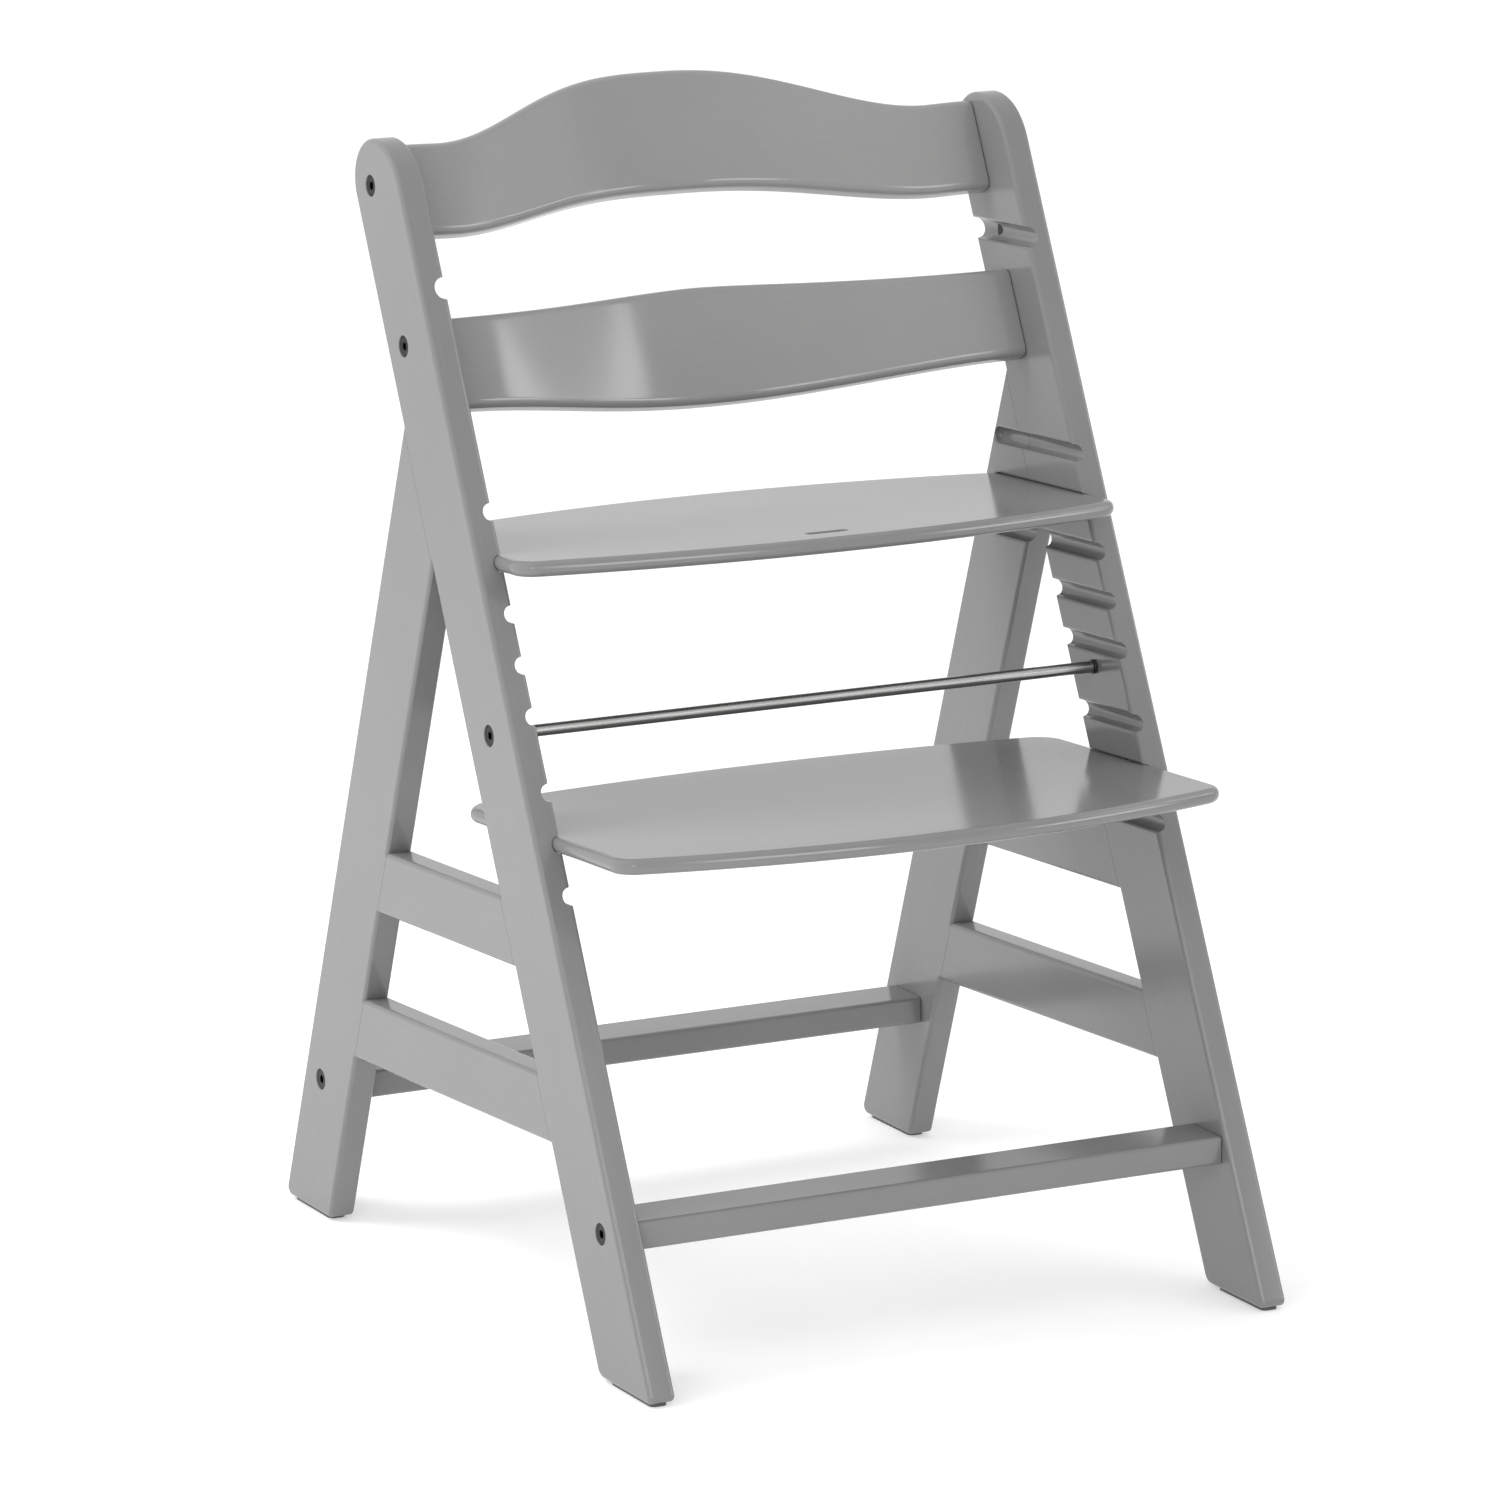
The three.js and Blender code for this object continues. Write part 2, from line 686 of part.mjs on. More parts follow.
function rectangle(middleY, sizeX, sizeY, round) {
  return shapeOf([
    [-sizeX / 2, middleY - sizeY / 2, round],
    [sizeX / 2, middleY - sizeY / 2, round],
    [sizeX / 2, middleY + sizeY / 2, round],
    [-sizeX / 2, middleY + sizeY / 2, round],
  ]);
}

const strapCutter = new THREE.ExtrudeGeometry(
  rectangle(strapSlot.y, strapSlot.length, strapSlot.width, strapSlot.round),
  { depth: 4 * boardThickness, bevelEnabled: false },
).translate(0, 0, -2 * boardThickness);

const seatBoard = buildBoard(boardOutline(seatEdges)).subtract(toSolid(strapCutter));
addPart("seat_board", layInGroove(seatBoard, seatGroove), boardLacquer);

const footBoard = buildBoard(boardOutline(footEdges));
addPart("foot_board", layInGroove(footBoard, footGroove), boardLacquer);

// ---------------------------------------------------------------- glides

function addGlide(name, middleY) {
  const pad = new THREE.ExtrudeGeometry(rectangle(0, glideWidth, glideLength, glideRound), {
    depth: glideHeight,
    bevelEnabled: false,
  });
  addPair(name, pad.translate(outerX - sideThickness / 2, middleY, -lift), greyPlastic);
}

addGlide("front_glide", -footDepth / 2 + frontGlideInset);
addGlide("rear_glide", footDepth / 2 - rearGlideInset);

export default chair;
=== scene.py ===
"""Baby high chair: lacquered side frames, curved backrests, crossbars, a tie rod and two boards.

Lengths in the shape code are millimetres above the bottom of the wood, until a mesh is made; the
meshes are then raised onto the glides. +X is the right side frame, -Y is the front, +Z is up.
The level of a rail is its height at Y = 0, and the level of a groove or a board is its height at
the front edge of the posts. Both fall towards the back by FALL.
"""

import math

import bmesh
import bpy
from mathutils import Matrix, Vector

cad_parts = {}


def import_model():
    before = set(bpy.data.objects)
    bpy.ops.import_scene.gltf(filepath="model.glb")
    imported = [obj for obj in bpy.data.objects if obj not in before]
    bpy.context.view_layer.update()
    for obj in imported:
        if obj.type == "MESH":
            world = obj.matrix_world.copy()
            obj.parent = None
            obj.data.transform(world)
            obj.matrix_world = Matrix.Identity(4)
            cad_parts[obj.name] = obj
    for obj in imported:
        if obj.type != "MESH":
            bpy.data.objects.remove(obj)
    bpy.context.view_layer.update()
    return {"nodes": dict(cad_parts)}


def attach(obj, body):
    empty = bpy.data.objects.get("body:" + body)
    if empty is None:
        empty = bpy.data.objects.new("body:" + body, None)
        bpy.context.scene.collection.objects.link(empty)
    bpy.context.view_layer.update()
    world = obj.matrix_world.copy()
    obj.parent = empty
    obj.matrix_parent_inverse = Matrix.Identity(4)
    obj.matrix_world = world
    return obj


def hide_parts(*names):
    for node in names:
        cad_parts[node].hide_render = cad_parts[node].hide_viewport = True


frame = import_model()
scene = bpy.context.scene

# ---------------------------------------------------------------- dimensions of the chair

MM = 0.001
GAP = 0.3  # between pieces that touch, and around everything that sits in a hole
LIFT = 2.3  # the height of the glides under the wood

OUTER_X = 235.0
INNER_X = 216.0
EDGE_ROUND = 3.0

FOOT_DEPTH = 554.0
POST_LEAN = 0.488
POST_WIDTH = 74.0
POST_TOP = 754.0
POST_TOP_REAR_ROUND = 28.4
LEG_LEAN = 0.353
LEG_WIDTH = 71.8
FALL = 0.0482
FOOT_CORNER_ROUND = 4.0
POST_HEEL_ROUND = 9.0
LEG_HEEL_ROUND = 6.0

RAIL_HEIGHT = 43.5
UPPER_RAIL = 260.6
LOWER_RAIL = 153.0

GROOVE_PITCH = 30.9
FOOT_GROOVE_LOW = 298.2
SEAT_GROOVE_LOW = 405.2
ACCESSORY_GROOVE = 665.0
GROOVE_RADIUS = 5.5
ACCESSORY_GROOVE_RADIUS = 6.8
GROOVE_LIP = 2.2
GROOVE_LIP_DEPTH = 1.6
GROOVE_STOP = 84.0
FOOT_GROOVES = 3
SEAT_GROOVES = 5
OPEN_SEAT_GROOVES = 2
PIN_HOLE_RADIUS = 3.7
PIN_HOLE_DEPTH = 12.0
PIN_HOLE_SHARE = 0.68

BOARD_THICKNESS = 10.4
BOARD_RIM_FLAT = 0.2
SEAT_GROOVE = SEAT_GROOVE_LOW + 3 * GROOVE_PITCH
FOOT_GROOVE = FOOT_GROOVE_LOW + GROOVE_PITCH
SEAT_OUTLINE = {
    "front": -98,
    "front_bow": 27.9,
    "rear": 124.5,
    "rear_bow": 33.5,
    "front_round": 17,
    "rear_round": 24,
}
FOOT_OUTLINE = {
    "front": -246,
    "front_bow": 35.8,
    "rear": 39.5,
    "rear_bow": 20,
    "front_round": 18,
    "rear_round": 24,
}
STRAP_SLOT = {"half_width": 15, "front": -75, "rear": -69, "round": 2.9}

SLAT_THICKNESS = 18.0
SLAT_FACE = -1.6
SLAT_BOW = 39.5
SLAT_BOW_POWER = 1.1
SLAT_ROUND = 5.5
SLAT_PIN_LINE = 8.5
SLAT_STATIONS = 96
TOP_SLAT = {"bottom": 770, "bottom_rise": 28, "top": 833, "top_rise": 49, "reach": 186, "power": 1.27}
LOWER_SLAT = {
    "bottom": 651.4,
    "bottom_rise": -2.3,
    "top": 713,
    "top_rise": 16.8,
    "reach": INNER_X,
    "power": 0.9,
}
TOP_SLAT_BOLT = 808.5
TOP_SLAT_DOWEL = 787
LOWER_SLAT_BOLT = 698.5
LOWER_SLAT_DOWEL = 669

CROSSBAR_DEPTH = 40.0
CROSSBAR_HEIGHT = 19.0
CROSSBAR_LEVEL = 95.5
CROSSBAR_ROUND = 2.6
CROSSBAR_STATIONS = 12
END_ROUND = 0.8
FRONT_CROSSBAR_Y = -202.5
REAR_CROSSBAR_Y = 208.0

ROD_RADIUS = 4.0
ROD_Y = -49.3
ROD_LEVEL = 388.8
ROD_RING = 2.2
ROD_RING_RIM = 0.9
ROD_RING_ROUND = 0.5
ROD_END = INNER_X - 2 * GAP - ROD_RING
ROD_BOLT_REACH = 20.0
ROD_CHAMFER = 0.4

SHANK_RADIUS = 3.0
ROD_SHANK_RADIUS = 2.5
HEAD_RADIUS = 6.8
HEAD_HEIGHT = 4.5
HEAD_RECESS = 0.8
HEAD_OUTER = OUTER_X - HEAD_RECESS
HEAD_INNER = HEAD_OUTER - HEAD_HEIGHT
HEAD_CHAMFER = 0.6
SOCKET_WIDTH = 5.0
SOCKET_DEPTH = 2.5
SOCKET_CHAMFER = 0.3
NUT_RADIUS = 5.0
NUT_LENGTH = 10.0
NUT_SHIFT = 1.5
SLAT_NUT_INSET = 14
CROSSBAR_NUT_INSET = 22
NUT_HOLE_LENGTH = 40
DOWEL_RADIUS = 4.0
DOWEL_IN_POST = 8.0
DOWEL_IN_BAR = 13.0
TIP_PAST_NUT = 5.0
TIP_CHAMFER = 0.6

LEAN = math.atan(POST_LEAN)
TILT = math.atan(FALL)


def front_line(z):
    return -FOOT_DEPTH / 2 + POST_LEAN * z


def post_rear_line(z):
    return front_line(z) + POST_WIDTH


def leg_rear_line(z):
    return FOOT_DEPTH / 2 - LEG_LEAN * z


def leg_front_line(z):
    return leg_rear_line(z) - LEG_WIDTH


def crossing_height(a, b):
    """The height at which two leaning lines cross."""
    return (a(0) - b(0)) / (b(1) - b(0) - a(1) + a(0))


def meet(lean, level):
    """Where a leaning line meets a rail edge that falls towards the back."""
    slope = lean(1) - lean(0)
    z = (level - FALL * lean(0)) / (1 + FALL * slope)
    return (lean(z), z, 0)


def on_post(u, v):
    """A place on the post's centre line: u behind it and v up along it."""
    y = u * math.cos(LEAN) + v * math.sin(LEAN) - (FOOT_DEPTH - POST_WIDTH) / 2
    return y, v * math.cos(LEAN) - u * math.sin(LEAN)


JOINTS = {
    "top_backrest": {
        "bolt": on_post(SLAT_PIN_LINE, TOP_SLAT_BOLT),
        "dowel": on_post(SLAT_PIN_LINE, TOP_SLAT_DOWEL),
        "nut_inset": SLAT_NUT_INSET,
        "nut_turn": LEAN - math.pi / 2,
    },
    "lower_backrest": {
        "bolt": on_post(SLAT_PIN_LINE, LOWER_SLAT_BOLT),
        "dowel": on_post(SLAT_PIN_LINE, LOWER_SLAT_DOWEL),
        "nut_inset": SLAT_NUT_INSET,
        "nut_turn": LEAN - math.pi / 2,
    },
    "front_crossbar": {
        "bolt": (FRONT_CROSSBAR_Y - 4, CROSSBAR_LEVEL),
        "dowel": (FRONT_CROSSBAR_Y + 12, CROSSBAR_LEVEL),
        "nut_inset": CROSSBAR_NUT_INSET,
        "nut_turn": 0,
    },
    "rear_crossbar": {
        "bolt": (REAR_CROSSBAR_Y + 9, CROSSBAR_LEVEL),
        "dowel": (REAR_CROSSBAR_Y - 9, CROSSBAR_LEVEL),
        "nut_inset": CROSSBAR_NUT_INSET,
        "nut_turn": 0,
    },
}

# ---------------------------------------------------------------- mesh helpers


def rounded_outline(corners, step=math.radians(6)):
    """Points of an outline from corners (x, y, radius)."""
    points = []
    for i, (x, y, radius) in enumerate(corners):
        corner = Vector((x, y))
        if not radius:
            points.append(corner)
            continue
        to_before = (Vector(corners[i - 1][:2]) - corner).normalized()
        to_after = (Vector(corners[(i + 1) % len(corners)][:2]) - corner).normalized()
        half = math.acos(to_before.dot(to_after)) / 2
        centre = corner + (to_before + to_after).normalized() * (radius / math.sin(half))
        arm = corner + to_before * (radius / math.tan(half)) - centre
        turn = math.copysign(math.pi - 2 * half, to_after.cross(to_before))
        steps = max(2, math.ceil(abs(turn) / step))
        for k in range(steps + 1):
            points.append(centre + Matrix.Rotation(turn * k / steps, 2) @ arm)
    return points


def to_mesh(verts, faces):
    """A mesh in metres from millimetre points, with its faces turned out."""
    mesh = bpy.data.meshes.new("piece")
    mesh.from_pydata([Vector(v) * MM for v in verts], [], faces)
    return cleaned(mesh)


def cleaned(mesh, flatten=False):
    """The same mesh with doubles merged, faces turned out and, if asked, flat faces joined."""
    bm = bmesh.new()
    bm.from_mesh(mesh)
    bmesh.ops.remove_doubles(bm, verts=bm.verts, dist=2e-6)
    bmesh.ops.dissolve_degenerate(bm, edges=bm.edges, dist=1e-6)
    if flatten:
        bmesh.ops.dissolve_limit(bm, angle_limit=math.radians(0.2), verts=bm.verts, edges=bm.edges)
    bmesh.ops.recalc_face_normals(bm, faces=bm.faces)
    bm.to_mesh(mesh)
    bm.free()
    return mesh


def lofted(rings):
    """A closed solid through rings of equally many points, with flat ends."""
    n = len(rings[0])
    verts = [p for ring in rings for p in ring]
    faces = []
    for r in range(len(rings) - 1):
        for i in range(n):
            j = (i + 1) % n
            faces.append((r * n + i, r * n + j, (r + 1) * n + j, (r + 1) * n + i))
    faces.append(tuple(range(n)))
    faces.append(tuple(range((len(rings) - 1) * n, len(rings) * n)))
    return to_mesh(verts, faces)


def turned(profile, y, z, segments=48):
    """A turned solid along +X through (y, z), from profile points (x, radius) off the axis."""
    rings = []
    for x, radius in profile:
        ring = []
        for i in range(segments):
            a = 2 * math.pi * i / segments
            ring.append((x, y + radius * math.cos(a), z + radius * math.sin(a)))
        rings.append(ring)
    return lofted(rings)


def prism_yz(outline, x_low, x_high):
    """A straight prism along +X from an outline in (y, z)."""
    return lofted([[(x, y, z) for y, z in outline] for x in (x_low, x_high)])


def evaluated_mesh(holder):
    """A new mesh of an object with its modifiers applied."""
    return bpy.data.meshes.new_from_object(
        holder.evaluated_get(bpy.context.evaluated_depsgraph_get())
    )


def plate(loops, thickness, rim, segments=4):
    """A flat plate with round rims from outlines in its own (x, y): the outside, then the holes."""
    curve = bpy.data.curves.new("outline", "CURVE")
    curve.dimensions = "2D"
    curve.fill_mode = "BOTH"
    curve.extrude = (thickness / 2 - rim) * MM
    curve.bevel_depth = rim * MM
    curve.bevel_resolution = segments - 1
    curve.offset = -rim * MM
    for loop in loops:
        spline = curve.splines.new("POLY")
        spline.points.add(len(loop) - 1)
        for point, (x, y) in zip(spline.points, loop):
            point.co = (x * MM, y * MM, 0, 1)
        spline.use_cyclic_u = True
    holder = bpy.data.objects.new("outline", curve)
    scene.collection.objects.link(holder)
    mesh = evaluated_mesh(holder)
    bpy.data.objects.remove(holder)
    bpy.data.curves.remove(curve)
    mesh.materials.clear()
    return cleaned(mesh)


def boolean(mesh, cutters, operation="DIFFERENCE", flatten=False):
    """The mesh with the cutters taken away, or only what they share."""
    group = bpy.data.collections.new("cutters")
    scene.collection.children.link(group)
    helpers = [bpy.data.objects.new("cutter", cutter) for cutter in cutters]
    for helper in helpers:
        group.objects.link(helper)
    body = bpy.data.objects.new("body", mesh)
    scene.collection.objects.link(body)
    modifier = body.modifiers.new("cut", "BOOLEAN")
    modifier.operation = operation
    modifier.solver = "EXACT"
    if len(helpers) == 1:
        modifier.object = helpers[0]
    else:
        modifier.operand_type = "COLLECTION"
        modifier.collection = group
    made = evaluated_mesh(body)
    for helper in [body, *helpers]:
        bpy.data.objects.remove(helper)
    bpy.data.collections.remove(group)
    made.materials.clear()
    return cleaned(made, flatten)


def mirrored(mesh):
    """A copy of a mesh on the other side of the middle plane."""
    copy = mesh.copy()
    copy.transform(Matrix.Scale(-1, 4, (1, 0, 0)))
    copy.flip_normals()
    return copy


def raised(mesh):
    """Sets a mesh that was made above the wood's floor line onto its glides."""
    mesh.transform(Matrix.Translation((0, 0, LIFT * MM)))
    return mesh


# ---------------------------------------------------------------- materials


def node(tree, kind, **inputs):
    made = tree.nodes.new(kind)
    for name, value in inputs.items():
        made.inputs[name.replace("_", " ")].default_value = value
    return made


def new_surface(name, metallic=0.0, ior=1.5):
    """A new material and its shader node."""
    material = bpy.data.materials.new(name)
    material.use_nodes = True
    shader = material.node_tree.nodes["Principled BSDF"]
    shader.inputs["Metallic"].default_value = metallic
    shader.inputs["IOR"].default_value = ior
    return material, shader


def stretched_coordinates(tree, rotation, stretch):
    """Coordinates in metres, turned and squeezed so that noise runs along one direction."""
    coordinates = tree.nodes.new("ShaderNodeTexCoord")
    mapping = tree.nodes.new("ShaderNodeMapping")
    mapping.vector_type = "TEXTURE"
    mapping.inputs["Rotation"].default_value = rotation
    mapping.inputs["Scale"].default_value = stretch
    tree.links.new(coordinates.outputs["Object"], mapping.inputs["Vector"])
    return mapping.outputs["Vector"]


NO_TURN = (0.0, 0.0, 0.0)
NO_STRETCH = (1.0, 1.0, 1.0)


def noise(tree, vector, scale, detail=2.0, roughness=0.5):
    made = node(tree, "ShaderNodeTexNoise", Scale=scale, Detail=detail, Roughness=roughness)
    tree.links.new(vector, made.inputs["Vector"])
    return made.outputs["Fac"]


def colour_band(tree, value, dark, light, low=0.35, high=0.65):
    """A value turned into a colour between dark and light."""
    ramp = tree.nodes.new("ShaderNodeValToRGB")
    ramp.color_ramp.elements[0].position = low
    ramp.color_ramp.elements[0].color = (*dark, 1)
    ramp.color_ramp.elements[1].position = high
    ramp.color_ramp.elements[1].color = (*light, 1)
    tree.links.new(value, ramp.inputs["Fac"])
    return ramp.outputs["Color"]


def number_band(tree, value, low, high):
    """A noise value turned into a number between low and high."""
    ranged = node(tree, "ShaderNodeMapRange", From_Min=0.3, From_Max=0.7, To_Min=low, To_Max=high)
    tree.links.new(value, ranged.inputs["Value"])
    return ranged.outputs["Result"]


def bumps(tree, layers):
    """Bump nodes chained from (height, millimetres) layers."""
    normal = None
    for height, millimetres in layers:
        bump = node(tree, "ShaderNodeBump", Strength=1.0, Distance=millimetres * MM)
        tree.links.new(height, bump.inputs["Height"])
        if normal is not None:
            tree.links.new(normal, bump.inputs["Normal"])
        normal = bump.outputs["Normal"]
    return normal


GRAIN_ALONG_X = NO_TURN
GRAIN_STRETCH = (0.03, 0.0012, 0.0012)
LACQUER_VARIATION = 0.035
CLOUD_SCALE = 9.0
PEEL_SCALE = 420.0
GRAIN_HEIGHT = 0.004
PEEL_HEIGHT = 0.003


def lacquer(name, grey, grain_rotation, gloss=(0.15, 0.2)):
    """Opaque grey lacquer sprayed over wood: faint grain under it and a fine orange peel."""
    material, shader = new_surface(name)
    tree = material.node_tree
    grain_space = stretched_coordinates(tree, grain_rotation, GRAIN_STRETCH)
    even_space = stretched_coordinates(tree, NO_TURN, NO_STRETCH)
    grain = noise(tree, grain_space, 1.0, 3.0, 0.55)
    clouds = noise(tree, even_space, CLOUD_SCALE, 2.0)
    peel = noise(tree, even_space, PEEL_SCALE, 1.0)
    mixed = node(tree, "ShaderNodeMath")
    mixed.operation = "ADD"
    halved = node(tree, "ShaderNodeMath")
    halved.operation = "MULTIPLY"
    halved.inputs[1].default_value = 0.5
    tree.links.new(grain, mixed.inputs[0])
    tree.links.new(clouds, mixed.inputs[1])
    tree.links.new(mixed.outputs[0], halved.inputs[0])
    dark = tuple(c * (1 - LACQUER_VARIATION) for c in grey)
    light = tuple(c * (1 + LACQUER_VARIATION) for c in grey)
    tree.links.new(colour_band(tree, halved.outputs[0], dark, light), shader.inputs["Base Color"])
    tree.links.new(number_band(tree, clouds, *gloss), shader.inputs["Roughness"])
    tree.links.new(bumps(tree, [(grain, GRAIN_HEIGHT), (peel, PEEL_HEIGHT)]), shader.inputs["Normal"])
    return material


def metal(name, colour, gloss, rotation, stretch, depth):
    """Bare or blackened metal with a fine directional grain."""
    material, shader = new_surface(name, metallic=1.0)
    tree = material.node_tree
    brushed = noise(tree, stretched_coordinates(tree, rotation, stretch), 1.0, 3.0)
    dark = tuple(c * 0.9 for c in colour)
    tree.links.new(colour_band(tree, brushed, dark, colour), shader.inputs["Base Color"])
    tree.links.new(number_band(tree, brushed, *gloss), shader.inputs["Roughness"])
    tree.links.new(bumps(tree, [(brushed, depth)]), shader.inputs["Normal"])
    return material


def dull(name, colour, gloss, grain_scale, depth, spread=0.15):
    """Rubber, plastic or bare wood: a fine even grain in colour, gloss and height."""
    material, shader = new_surface(name)
    tree = material.node_tree
    grain = noise(tree, stretched_coordinates(tree, NO_TURN, NO_STRETCH), grain_scale, 3.0)
    dark = tuple(c * (1 - spread) for c in colour)
    light = tuple(c * (1 + spread) for c in colour)
    tree.links.new(colour_band(tree, grain, dark, light), shader.inputs["Base Color"])
    tree.links.new(number_band(tree, grain, *gloss), shader.inputs["Roughness"])
    tree.links.new(bumps(tree, [(grain, depth)]), shader.inputs["Normal"])
    return material


FRAME_GREY = (0.185, 0.185, 0.184)
# Painted light: the slats have the same lacquer as the frame, but their grey is painted about a
# quarter lighter so the curved backrests look more brightly lit than the frame's front faces.
SLAT_GREY_PAINTED_LIGHTER = (0.238, 0.238, 0.236)
BOARD_GREY = (0.19, 0.19, 0.1885)


def grain_towards(direction):
    """The rotation that turns the grain from X to a direction."""
    return tuple(Vector((1, 0, 0)).rotation_difference(Vector(direction)).to_euler())


ALONG_ROD = (0.04, 0.0004, 0.0004)
BOLT_GRAIN = (0.0006, 0.0006, 0.0006)
NUT_GRAIN = (0.0008, 0.0008, 0.0008)

along_post = grain_towards((0, math.sin(LEAN), math.cos(LEAN)))
post_lacquer = lacquer("post_lacquer", FRAME_GREY, along_post)
leg_lacquer = lacquer("leg_lacquer", FRAME_GREY, grain_towards((0, -LEG_LEAN, 1)))
rail_lacquer = lacquer("rail_lacquer", FRAME_GREY, grain_towards((0, -1, FALL)))
bar_lacquer = lacquer("crossbar_lacquer", FRAME_GREY, GRAIN_ALONG_X)
# Painted light: a lighter copy of the frame's lacquer, so the slats look more brightly lit.
slat_lacquer_painted_lighter = lacquer("slat_lacquer_painted_lighter", SLAT_GREY_PAINTED_LIGHTER, GRAIN_ALONG_X, (0.12, 0.16))
board_lacquer = lacquer("board_lacquer", BOARD_GREY, GRAIN_ALONG_X, (0.13, 0.17))
rod_steel = metal("rod_steel", (0.42, 0.42, 0.415), (0.2, 0.3), GRAIN_ALONG_X, ALONG_ROD, 0.0015)
bolt_black = metal("bolt_black", (0.03, 0.03, 0.032), (0.3, 0.42), NO_TURN, BOLT_GRAIN, 0.003)
nut_zinc = metal("nut_zinc", (0.55, 0.56, 0.57), (0.25, 0.4), NO_TURN, NUT_GRAIN, 0.004)
dowel_beech = dull("dowel_beech", (0.5, 0.34, 0.18), (0.55, 0.75), 900.0, 0.03)
ring_rubber = dull("ring_rubber", (0.012, 0.012, 0.012), (0.45, 0.6), 1500.0, 0.01)
glide_plastic = dull("glide_plastic", (0.07, 0.07, 0.073), (0.4, 0.55), 1200.0, 0.012)

# ---------------------------------------------------------------- pieces


def add_piece(name, mesh, material, slot, body, *nodes, sharp=40):
    """A finished visible piece that stands for CAD nodes."""
    mesh.shade_smooth()
    mesh.set_sharp_from_angle(angle=math.radians(sharp))
    mesh.materials.append(material)
    piece = bpy.data.objects.new(name, mesh)
    scene.collection.objects.link(piece)
    weighted = piece.modifiers.new("even_shading", "WEIGHTED_NORMAL")
    weighted.keep_sharp = True
    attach(piece, body)
    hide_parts(*nodes)
    return piece


# ---------------------------------------------------------------- side frames


def side_outlines():
    """The outside of a side frame and its two openings, in (y, z)."""
    top_tangent = math.tan((math.pi / 2 + LEAN) / 2) * POST_TOP_REAR_ROUND
    front_round = (POST_WIDTH - top_tangent) / math.tan((math.pi / 2 - LEAN) / 2)
    wedge_top = crossing_height(post_rear_line, leg_rear_line)
    wedge_bottom = crossing_height(post_rear_line, leg_front_line)
    under = LOWER_RAIL - RAIL_HEIGHT / 2
    middle_top = UPPER_RAIL - RAIL_HEIGHT / 2
    middle_bottom = LOWER_RAIL + RAIL_HEIGHT / 2
    upper_bottom = UPPER_RAIL + RAIL_HEIGHT / 2
    outside = [
        (front_line(0), 0, FOOT_CORNER_ROUND),
        (post_rear_line(0), 0, POST_HEEL_ROUND),
        meet(post_rear_line, under),
        meet(leg_front_line, under),
        (leg_front_line(0), 0, FOOT_CORNER_ROUND),
        (leg_rear_line(0), 0, LEG_HEEL_ROUND),
        (leg_rear_line(wedge_top), wedge_top, 0),
        (post_rear_line(POST_TOP), POST_TOP, POST_TOP_REAR_ROUND),
        (front_line(POST_TOP), POST_TOP, front_round),
    ]
    middle = [
        meet(post_rear_line, middle_bottom),
        meet(post_rear_line, middle_top),
        meet(leg_front_line, middle_top),
        meet(leg_front_line, middle_bottom),
    ]
    upper = [
        meet(post_rear_line, upper_bottom),
        (post_rear_line(wedge_bottom), wedge_bottom, 0),
        meet(leg_front_line, upper_bottom),
    ]
    return [rounded_outline(corners) for corners in (outside, middle, upper)]


def groove_half_profile(radius):
    """(depth, distance from the groove's middle), from the deepest point out over the rounded lip."""
    points = []
    for k in range(9):
        a = math.pi / 2 * k / 8
        points.append((GROOVE_LIP_DEPTH + radius * math.cos(a), radius * math.sin(a)))
    for k in range(1, 6):
        a = math.pi / 2 * k / 5
        out = radius + GROOVE_LIP * (1 - math.cos(a))
        points.append((GROOVE_LIP_DEPTH * (1 - math.sin(a)), out))
    points.append((-1.0, radius + GROOVE_LIP))
    return points


def groove_cutters(height, stop_y=None, radius=GROOVE_RADIUS):
    """Cutters for a groove from the front edge to the post's rear edge, or to a round stop."""
    past_rear, past_front = 8, 12
    front_y = front_line(height)
    rear_y = post_rear_line(height) + past_rear if stop_y is None else stop_y
    rear_z = height - FALL * (rear_y - front_y)
    length = (rear_y - front_y + past_front) / math.cos(TILT)
    half = groove_half_profile(radius)
    profile = [(d, -r) for d, r in reversed(half[1:])] + half
    rings = []
    for s in (0, length):
        rings.append(
            [
                (
                    INNER_X + d,
                    rear_y - s * math.cos(TILT) + r * math.sin(TILT),
                    rear_z + s * math.sin(TILT) + r * math.cos(TILT),
                )
                for d, r in profile
            ]
        )
    cutters = [lofted(rings)]
    if stop_y is not None:
        cutters.append(turned([(INNER_X + d, max(r, 0.05)) for d, r in half], rear_y, rear_z, 40))
    return cutters


def side_holes():
    """Cutters for the bolt holes with their eased counterbores, the dowel holes and the pin hole."""
    head_hole = HEAD_RADIUS + GAP
    bolt_profile = [
        (INNER_X - 1, SHANK_RADIUS + GAP),
        (HEAD_INNER - GAP, SHANK_RADIUS + GAP),
        (HEAD_INNER - GAP, head_hole),
        (OUTER_X - 0.5, head_hole),
        (OUTER_X - 0.15, head_hole + 0.15),
        (OUTER_X + 0.02, head_hole + 0.5),
        (OUTER_X + 1, head_hole + 0.5),
    ]
    dowel_profile = [
        (INNER_X - 1, DOWEL_RADIUS + GAP),
        (INNER_X + DOWEL_IN_POST + GAP, DOWEL_RADIUS + GAP),
    ]
    pin_profile = [(INNER_X, PIN_HOLE_RADIUS), (INNER_X + PIN_HOLE_DEPTH, PIN_HOLE_RADIUS)]
    pin_y = front_line(ACCESSORY_GROOVE) + POST_WIDTH * PIN_HOLE_SHARE
    pin_z = ACCESSORY_GROOVE - FALL * (pin_y - front_line(ACCESSORY_GROOVE))
    bolts = [joint["bolt"] for joint in JOINTS.values()] + [(ROD_Y, ROD_LEVEL)]
    cutters = [turned(bolt_profile, *bolt) for bolt in bolts]
    cutters += [turned(dowel_profile, *joint["dowel"], 24) for joint in JOINTS.values()]
    cutters.append(turned(pin_profile, pin_y, pin_z, 32))
    return cutters


